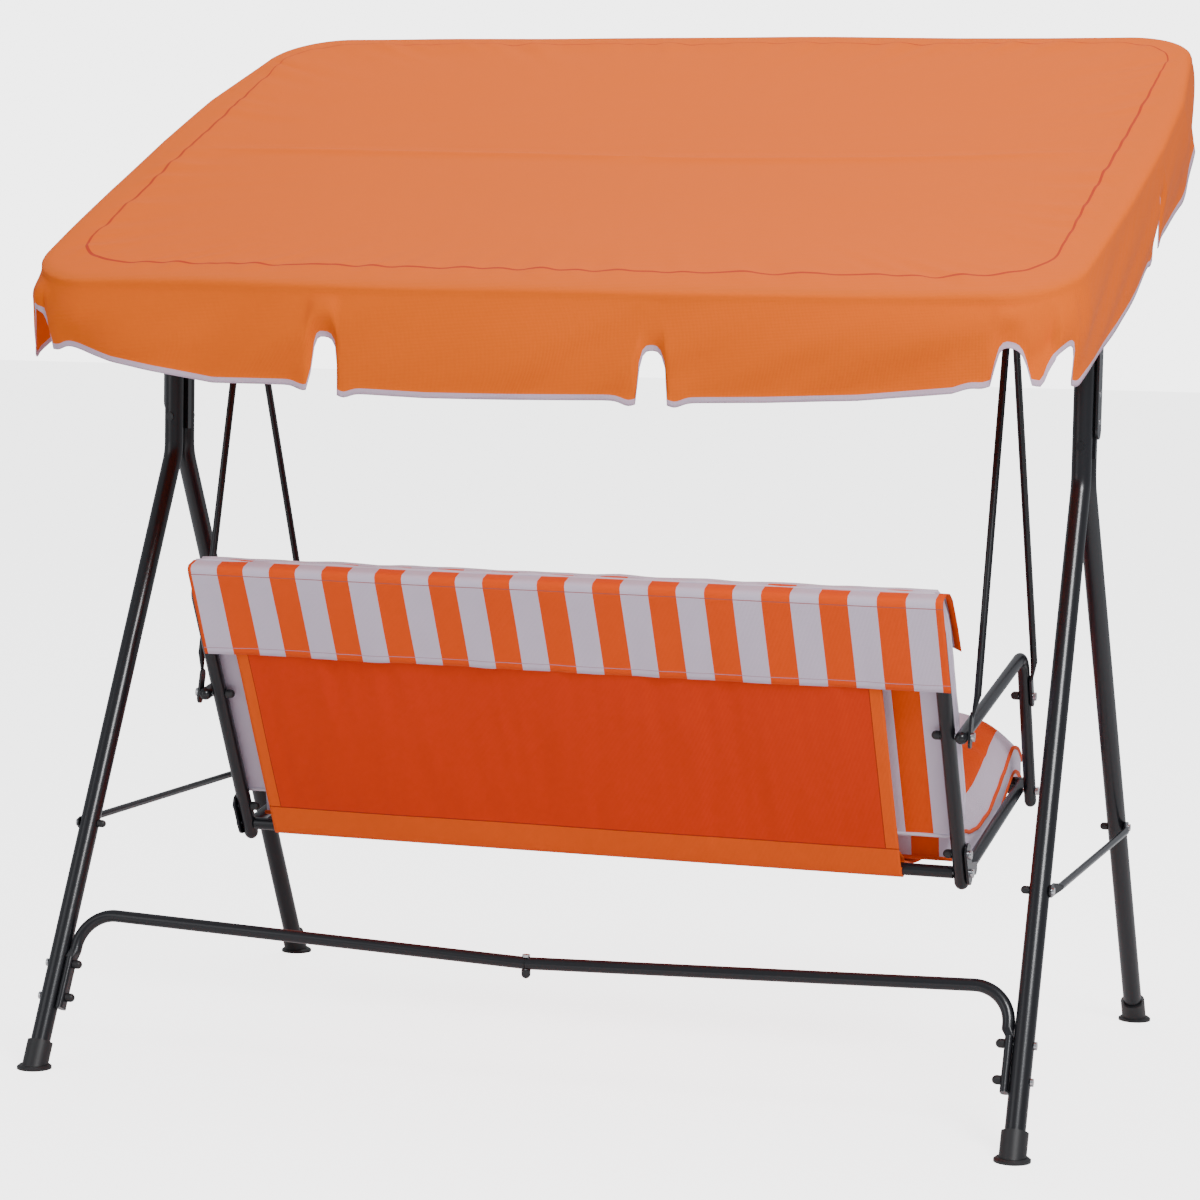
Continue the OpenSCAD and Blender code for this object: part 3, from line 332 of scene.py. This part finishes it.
orange = (0.98, 0.175, 0.004)
m, n, l, b = woven("canopy_fabric", orange, 0.72, 0.22)
uvn = n.new("ShaderNodeUVMap")
uvn.uv_map = "cloth"
sep = n.new("ShaderNodeSeparateXYZ")
l.new(uvn.outputs["UV"], sep.inputs["Vector"])
on_valance = band(n, l, sep.outputs["X"], -0.2, 0.2)
low_edge = band(n, l, sep.outputs["Y"], -0.01, 0.0095)
tape = n.new("ShaderNodeMath")
tape.operation = "MULTIPLY"
l.new(on_valance, tape.inputs[0])
l.new(low_edge, tape.inputs[1])
colour = tint(n, l, orange, (0.62, 0.045, 0.012), band(n, l, sep.outputs["X"], 0.93, 1.0))
colour = tint(n, l, colour, (0.70, 0.58, 0.74), tape.outputs["Value"])
l.new(colour, b.inputs["Base Color"])
mesh.materials.append(m)
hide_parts("canopy_cover")
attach(canopy_cloth, "canopy")

# ---- Back sling ----
# A single layer of red woven polyester laced tight between the backrest's top bar and lower bar.
# Each end is folded round its bar and stitched down; both sides have a wide lighter hem.
lo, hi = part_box("back_lower_bar")
low_bar = Vector((0, (lo.y + hi.y) / 2, (lo.z + hi.z) / 2))
lo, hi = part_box("back_frame_left")
top_bar = Vector((0, hi.y - 0.0125, hi.z - 0.0125))
up = (top_bar - low_bar).normalized()
back = Vector((0, up.z, -up.y))
back_len = (top_bar - low_bar).length
lo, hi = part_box("back_sling")
sling_x = (lo.x, hi.x)


def strip(name, path, x0, x1, nx, give, thickness=0.0012):
    """A cloth strip along a path of points in the plane square to X, nx squares wide. give(x, i, p) moves a point."""
    bm = bmesh.new()
    ny = len(path) - 1
    bmesh.ops.create_grid(bm, x_segments=nx, y_segments=ny, size=1)
    uv = bm.loops.layers.uv.new("cloth")
    place = {}
    run = [0.0]
    for p, q in zip(path, path[1:]):
        run.append(run[-1] + (q - p).length)
    for v in bm.verts:
        fx = (v.co.x + 1) / 2
        k = round((v.co.y + 1) / 2 * ny)
        x = x0 + (x1 - x0) * fx
        place[v] = (x, run[k])
        v.co = Vector((x, path[k].y, path[k].z))
        v.co += give(x, k / ny, v.co.copy())
    for f in bm.faces:
        f.smooth = True
        for lp in f.loops:
            lp[uv].uv = place[lp.vert]
    bmesh.ops.recalc_face_normals(bm, faces=bm.faces)
    area = sum(f.calc_area() for f in bm.faces)
    me = bpy.data.meshes.new(name)
    bm.to_mesh(me)
    bm.free()
    o = bpy.data.objects.new(name, me)
    bpy.context.collection.objects.link(o)
    t = o.modifiers.new("cloth", "SOLIDIFY")
    t.thickness = thickness
    t.offset = 0
    return o, area, run[-1]


def around(centre, r, start, stop, steps):
    """Arc round a bar: angles from the backrest's rear side towards its top, in degrees."""
    turns = (radians(start + (stop - start) * i / steps) for i in range(steps + 1))
    return [centre + (back * cos(a) + up * sin(a)) * r for a in turns]


def even(points, step):
    out = [points[0]]
    for p, q in zip(points, points[1:]):
        n_ = max(1, round((q - p).length / step))
        out += [p + (q - p) * i / n_ for i in range(1, n_ + 1)]
    return out


lap = low_bar + up * 0.044
loop_r = 0.0136
path = [lap - back * 0.002 + back * loop_r, lap * 0.4 + (low_bar - back * loop_r) * 0.6]
path += around(low_bar, loop_r, 180, 360, 14)
path += [top_bar + back * 0.0142] + around(top_bar, 0.0142, 0, 180, 14) + [top_bar - up * 0.05 + back * 0.0125]
path = even(path, 0.010)


def sling_give(x, f, p):
    h = (p - low_bar).dot(up) / back_len
    body = max(0, min(1, h * 8)) * max(0, min(1, (1 - h) * 8))
    pull = noise.noise(Vector((x * 16, h * 1.2, 3))) * 0.0022 + noise.noise(Vector((x * 4, h * 2.2, 9))) * 0.004
    return back * (pull * body + 0.0015 * noise.noise(Vector((x * 40, h * 3, 1))) * body)


back_sling, area, length = strip("back_sling_cloth", path, sling_x[0], sling_x[1], 220, sling_give)
red, hem_orange = (0.78, 0.046, 0.004), (0.93, 0.115, 0.004)
m, n, l, b = woven("sling_fabric", red, 0.7, 0.06)
where = n.new("ShaderNodeTexCoord")
sep = n.new("ShaderNodeSeparateXYZ")
l.new(where.outputs["Object"], sep.inputs["Vector"])
colour = tint(n, l, red, hem_orange, band(n, l, sep.outputs["X"], sling_x[1] - 0.022, sling_x[1] + 0.01))
colour = tint(n, l, colour, hem_orange, band(n, l, sep.outputs["X"], sling_x[0] - 0.01, sling_x[0] + 0.022))
for edge in (sling_x[1] - 0.0225, sling_x[0] + 0.0225):
    colour = tint(n, l, colour, (0.40, 0.03, 0.012), band(n, l, sep.outputs["X"], edge - 0.0007, edge + 0.0007))
seam_z = lap.z - 0.001
colour = tint(n, l, colour, hem_orange, band(n, l, sep.outputs["Z"], low_bar.z - 0.03, seam_z))
colour = tint(n, l, colour, (0.38, 0.028, 0.010), band(n, l, sep.outputs["Z"], seam_z - 0.0009, seam_z + 0.0009))
l.new(colour, b.inputs["Base Color"])
back_sling.data.materials.append(m)
sling_cloth = m
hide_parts("back_sling")
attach(back_sling, "seat")

# ---- Seat sling ----
# The same cloth between the lower bar and the front bar, looped round both. It sags under the
# cushion between them.
lo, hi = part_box("seat_front_bar")
front_bar = Vector((0, (lo.y + hi.y) / 2, (lo.z + hi.z) / 2))
down_r, sling_sag = 0.0118, 0.052
path = [low_bar + Vector((0, cos(a), sin(a))) * down_r for a in (radians(200 - 290 * i / 18 + 180) for i in range(18))]
span = front_bar - low_bar
for i in range(1, 40):
    t = i / 40
    dip = 4 * sling_sag * t * (1 - t) * min(1, 8 * t, 8 * (1 - t)) ** 0.35
    path.append(low_bar + Vector((0, 0, down_r)) + span * t - Vector((0, 0, dip)))
path += [front_bar + Vector((0, cos(a), sin(a))) * down_r for a in (radians(90 + 250 * i / 16) for i in range(17))]


def seat_give(x, f, p):
    return Vector((0, 0, 0.002 * noise.noise(Vector((x * 14, p.y * 3, 5))) * (sin(pi * f) ** 2)))


seat_sling, area, length = strip(
    "seat_sling_cloth", even(path, 0.012), sling_x[0], sling_x[1], 160, seat_give
)
seat_sling.data.materials.append(sling_cloth)
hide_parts("seat_sling")
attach(seat_sling, "seat")

# ---- Cushion cloth ----
# Striped woven polyester, orange on a pale lavender white, the stripes running from front to
# back. Plain orange edges, fine stitched ridges.
pale, stripe_orange = (0.72, 0.62, 0.76), (0.93, 0.090, 0.003)
stripe_w, stripe_start = 0.04746, 0.636


def striped(name, see_through=0.0):
    m, n, l, b = woven(name, pale, 0.75, see_through)
    where = n.new("ShaderNodeTexCoord")
    sep = n.new("ShaderNodeSeparateXYZ")
    l.new(where.outputs["Object"], sep.inputs["Vector"])
    step = n.new("ShaderNodeMath")
    step.operation = "MULTIPLY_ADD"
    step.inputs[1].default_value = -0.5 / stripe_w
    step.inputs[2].default_value = 0.5 * stripe_start / stripe_w + 20
    l.new(sep.outputs["X"], step.inputs[0])
    part = n.new("ShaderNodeMath")
    part.operation = "FRACT"
    l.new(step.outputs["Value"], part.inputs[0])
    colour = tint(n, l, pale, stripe_orange, band(n, l, part.outputs["Value"], 0.5, 1.0))
    for e in (stripe_start + 0.02, stripe_start - 27 * stripe_w - 0.02):
        colour = tint(n, l, colour, stripe_orange, band(n, l, sep.outputs["X"], e - 0.02, e + 0.02))
    l.new(colour, b.inputs["Base Color"])
    return m, n, l, b, sep, colour


# ---- Back cushion ----
# A long boxed pad of fibre filling in striped cloth, piped round both faces
# and quilted across its width. It leans on the sling and its top goes up into the hood.
lo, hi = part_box("back_cushion")
pad_half = (hi.x - lo.x) / 2 - 0.002


def soft_block(name, cuts, place):
    """A closed block whose points are set by place(a, b, c), each from -1 to 1."""
    bm = bmesh.new()
    bmesh.ops.create_cube(bm, size=2)
    bmesh.ops.subdivide_edges(bm, edges=bm.edges, cuts=cuts, use_grid_fill=True)
    for v in bm.verts:
        v.co = place(*v.co)
    for f in bm.faces:
        f.smooth = True
    bmesh.ops.recalc_face_normals(bm, faces=bm.faces)
    me = bpy.data.meshes.new(name)
    bm.to_mesh(me)
    bm.free()
    o = bpy.data.objects.new(name, me)
    bpy.context.collection.objects.link(o)
    sub = o.modifiers.new("smooth", "SUBSURF")
    sub.levels = sub.render_levels = 1
    return o


def sgn_pow(t, p):
    return (1 if t > 0 else -1) * abs(t) ** p


def quilting(a, count, b, rows_):
    """How far stitched channels and buttons pull the face in, from 0 to 1."""
    u = (a + 1) / 2 * count
    w = (b + 1) / 2 * rows_
    d = abs(u - round(u)) / count * 2 * 0.65
    e = abs(w - round(w)) / rows_ * 2 * 0.25
    inside = 1 if 0 < round(u) < count else 0
    inside_b = 1 if 0 < round(w) < rows_ else 0
    return max(inside * exp(-((d / 0.012) ** 2)) * 0.55, inside_b * exp(-((e / 0.010) ** 2)) * 0.45,
               inside * inside_b * exp(-((d / 0.03) ** 2) - (e / 0.03) ** 2))


def back_pad(a, b_, c):
    x = a * pad_half * (1 - 0.012 * abs(b_) ** 8)
    s = 0.302 + 0.238 * b_ + 0.004 * noise.noise(Vector((a * 9, b_ * 3, c)))
    fall = (1 - abs(a) ** 10) * (1 - abs(b_) ** 6)
    thick = 0.046 + 0.050 * fall * (1.1 - 0.35 * b_)
    thick -= 0.030 * quilting(a, 3, b_, 3) * max(0, c) * (1 - abs(a) ** 8) * (1 - abs(b_) ** 8)
    if c > 0.98:
        thick += 0.003 * noise.noise(Vector((a * 12, b_ * 7, 2)))
    m_ = 0.0138 + thick * (c + 1) / 2
    if b_ > 0.55:
        top = (b_ - 0.55) / 0.45
        m_ -= 0.022 * top * top * (c + 1) / 2
        s -= 0.5 * (m_ - 0.0138) * top * 0.9
    return low_bar + Vector((x, 0, 0)) + up * s - back * m_


back_cushion = soft_block("back_cushion_pad", 60, back_pad)
m, n, l, b, sep, colour = striped("cushion_fabric")
back_cushion.data.materials.append(m)
cushion_cloth = m
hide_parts("back_cushion")
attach(back_cushion, "seat")

# ---- Seat cushion ----
# The matching seat pad, boxed with a plain gusset between two lines of piping, crowned on top
# and quilted in three places. It hangs over the front bar.
lo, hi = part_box("seat_cushion")
seat_half = (hi.x - lo.x) / 2 - 0.001
slope = radians(10.6)
rise = Vector((0, -cos(slope), sin(slope)))
lift = Vector((0, sin(slope), cos(slope)))
rail_zero = low_bar - Vector((0, 0, 0.006))


def seat_pad(a, b_, c):
    x = a * seat_half * (1 - 0.01 * abs(b_) ** 8)
    s = 0.318 + 0.286 * b_
    t = min(1, max(0, s / 0.5))
    sag = sling_sag * (4 * t * (1 - t)) ** 1.5
    base = 0.0175 - sag + 0.006 * (1 - t)
    if s > 0.5:
        base -= 2.6 * (s - 0.5) ** 1.7
    side = 1 - abs(a) ** 14
    fall = side * (1 - abs(b_) ** 8)
    thick = 0.046 + (0.068 + 0.6 * sag) * fall
    thick -= 0.032 * quilting(a, 3, b_, 3) * max(0, c) * (1 - abs(a) ** 8) * (1 - abs(b_) ** 8)
    if c > 0.98:
        thick += 0.004 * noise.noise(Vector((a * 11, b_ * 6, 8)))
    return rail_zero + Vector((x, 0, 0)) + rise * s + lift * (base + thick * (c + 1) / 2)


seat_cushion = soft_block("seat_cushion_pad", 60, seat_pad)
seat_cushion.data.materials.append(cushion_cloth)
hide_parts("seat_cushion")
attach(seat_cushion, "seat")

# ---- Piping ----
# A round cord sewn into the cushions' edges, pale on the back cushion and orange on the seat, so that each face has a
# clear rim.
pipe_cloth, n, l, b = woven("piping_cloth", (0.74, 0.66, 0.78), 0.7, 0.0)
pipe_orange, n, l, b = woven("piping_orange", (0.80, 0.09, 0.016), 0.7, 0.0)


def piping(name, place, c, m, r=0.0035):
    pts = []
    k = 60
    for i in range(k):
        pts.append(place(-1 + 2 * i / k, -1, c))
    for i in range(k):
        pts.append(place(1, -1 + 2 * i / k, c))
    for i in range(k):
        pts.append(place(1 - 2 * i / k, 1, c))
    for i in range(k):
        pts.append(place(-1, 1 - 2 * i / k, c))
    cu = bpy.data.curves.new(name, "CURVE")
    cu.dimensions = "3D"
    cu.bevel_depth = r
    cu.bevel_resolution = 2
    sp = cu.splines.new("POLY")
    sp.points.add(len(pts) - 1)
    for p, q in zip(sp.points, pts):
        p.co = (*q, 1)
    sp.use_cyclic_u = True
    o = bpy.data.objects.new(name, cu)
    bpy.context.collection.objects.link(o)
    cu.materials.append(m)
    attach(o, "seat")
    return o


piping("back_piping_rear", back_pad, -1, pipe_cloth)
piping("back_piping_front", back_pad, 1, pipe_cloth)
piping("seat_piping_low", seat_pad, -1, pipe_orange)
piping("seat_piping_high", seat_pad, 1, pipe_orange)

# ---- Hood ----
# A striped pocket of the cushion's own cloth that slips over the top of the backrest. Its rear
# flap hangs behind the sling, with a stitched pale hem and plain orange sides.
lo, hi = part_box("back_hood")
hood_x = (lo.x, hi.x)
hood_s = back_len + 0.020
flap = 0.170


def hood_at(s, m_):
    return low_bar + up * s - back * m_


hood_line = [
    (flap, -0.0175), (0.010, -0.0172), (0.002, -0.0155), (-0.002, -0.010), (0.002, 0.012),
    (0.020, 0.045), (0.036, 0.066), (0.060, 0.080), (0.10, 0.090), (0.15, 0.098),
]
path = even([hood_at(hood_s - drop, m_) for drop, m_ in hood_line], 0.007)


def hood_give(x, f, p):
    h = (p - low_bar).dot(up)
    low = max(0, min(1, (hood_s - h) / flap))
    wave = 0.0045 * noise.noise(Vector((x * 7, f * 2, 6))) * low
    wave += 0.0016 * noise.noise(Vector((x * 26, f * 3, 2))) * low
    rear = 1 if (p - low_bar).dot(back) > 0 else -1
    end = max(0, 1 - min(x - hood_x[0], hood_x[1] - x) / 0.07)
    tuck = 0.026 * end * end * max(0, min(1, (-(p - low_bar).dot(back) - 0.03) / 0.05))
    return back * tuck + back * max(-0.001, wave) * rear + up * 0.003 * noise.noise(Vector((x * 3, 1, 1))) * (1 - low)


hood, area, length = strip("hood_cloth", path, hood_x[0], hood_x[1], 240, hood_give)
m, n, l, b, sep, colour = striped("hood_fabric", 0.05)
uvn = n.new("ShaderNodeUVMap")
uvn.uv_map = "cloth"
cut = n.new("ShaderNodeSeparateXYZ")
l.new(uvn.outputs["UV"], cut.inputs["Vector"])
colour = tint(n, l, colour, (0.50, 0.30, 0.40), band(n, l, cut.outputs["Y"], 0.0125, 0.0137))
colour = tint(n, l, colour, (0.45, 0.12, 0.10), band(n, l, cut.outputs["Y"], 0.158, 0.1595))
l.new(colour, b.inputs["Base Color"])
hood.data.materials.append(m)
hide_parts("back_hood")
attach(hood, "seat")

# ---- Floor, light and camera ----
# A plain pale floor and wall in soft studio light, seen from behind and to the sitters' right.
bm = bmesh.new()
bmesh.ops.create_grid(bm, x_segments=1, y_segments=1, size=40)
floor_mesh = bpy.data.meshes.new("floor")
bm.to_mesh(floor_mesh)
bm.free()
floor = bpy.data.objects.new("floor", floor_mesh)
bpy.context.collection.objects.link(floor)
m, n, l, b = new_material("floor", (0.9, 0.9, 0.9), 0.9, 0.0, 0.1)
b.inputs["Emission Color"].default_value = (1, 1, 1, 1)
ray = n.new("ShaderNodeLightPath")
lift = n.new("ShaderNodeMath")
lift.operation = "MULTIPLY"
lift.inputs[1].default_value = 3.2
l.new(ray.outputs["Is Camera Ray"], lift.inputs[0])
l.new(lift.outputs["Value"], b.inputs["Emission Strength"])
floor_mesh.materials.append(m)

world = bpy.data.worlds.new("studio")
bpy.context.scene.world = world
world.use_nodes = True
world.node_tree.nodes["Background"].inputs["Color"].default_value = (0.94, 0.96, 1.0, 1)
world.node_tree.nodes["Background"].inputs["Strength"].default_value = 0.46
backdrop = world.node_tree.nodes.new("ShaderNodeBackground")
backdrop.inputs["Color"].default_value = (1, 1, 1, 1)
backdrop.inputs["Strength"].default_value = 4.4
ray = world.node_tree.nodes.new("ShaderNodeLightPath")
seen = world.node_tree.nodes.new("ShaderNodeMixShader")
world.node_tree.links.new(ray.outputs["Is Camera Ray"], seen.inputs["Fac"])
world.node_tree.links.new(world.node_tree.nodes["Background"].outputs["Background"], seen.inputs[1])
world.node_tree.links.new(backdrop.outputs["Background"], seen.inputs[2])
world.node_tree.links.new(seen.outputs["Shader"], world.node_tree.nodes["World Output"].inputs["Surface"])
for name, place, aim, size, power in (
    ("key", (-2.8, 3.2, 4.0), (0, 0, 1.0), 1.6, 210),
    ("fill", (3.6, 4.2, 2.2), (0, 0, 0.8), 3.0, 34),
    ("top", (0.3, -1.2, 5.0), (0, -0.2, 1.4), 3.0, 105),
):
    lamp = bpy.data.lights.new(name, "AREA")
    lamp.size = size
    lamp.energy = power
    o = bpy.data.objects.new(name, lamp)
    bpy.context.collection.objects.link(o)
    o.location = place
    o.rotation_euler = (Vector(aim) - Vector(place)).to_track_quat("-Z", "Y").to_euler()

yaw, pitch, roll = radians(17.956), radians(5.209), radians(1.053)
ahead = Vector((sin(yaw) * cos(pitch), -cos(yaw) * cos(pitch), -sin(pitch)))
right = ahead.cross(Vector((0, 0, 1))).normalized()
above = right.cross(ahead)
r2 = right * cos(roll) + above * sin(roll)
u2 = above * cos(roll) - right * sin(roll)
lens = bpy.data.cameras.new("camera")
lens.lens = 106.02
lens.sensor_width = 36
camera = bpy.data.objects.new("camera", lens)
bpy.context.collection.objects.link(camera)
turn = Matrix((r2, u2, -ahead)).transposed().to_4x4()
camera.matrix_world = Matrix.Translation((-1.852, 5.773 + pivot.y, 1.335)) @ turn
bpy.context.scene.camera = camera
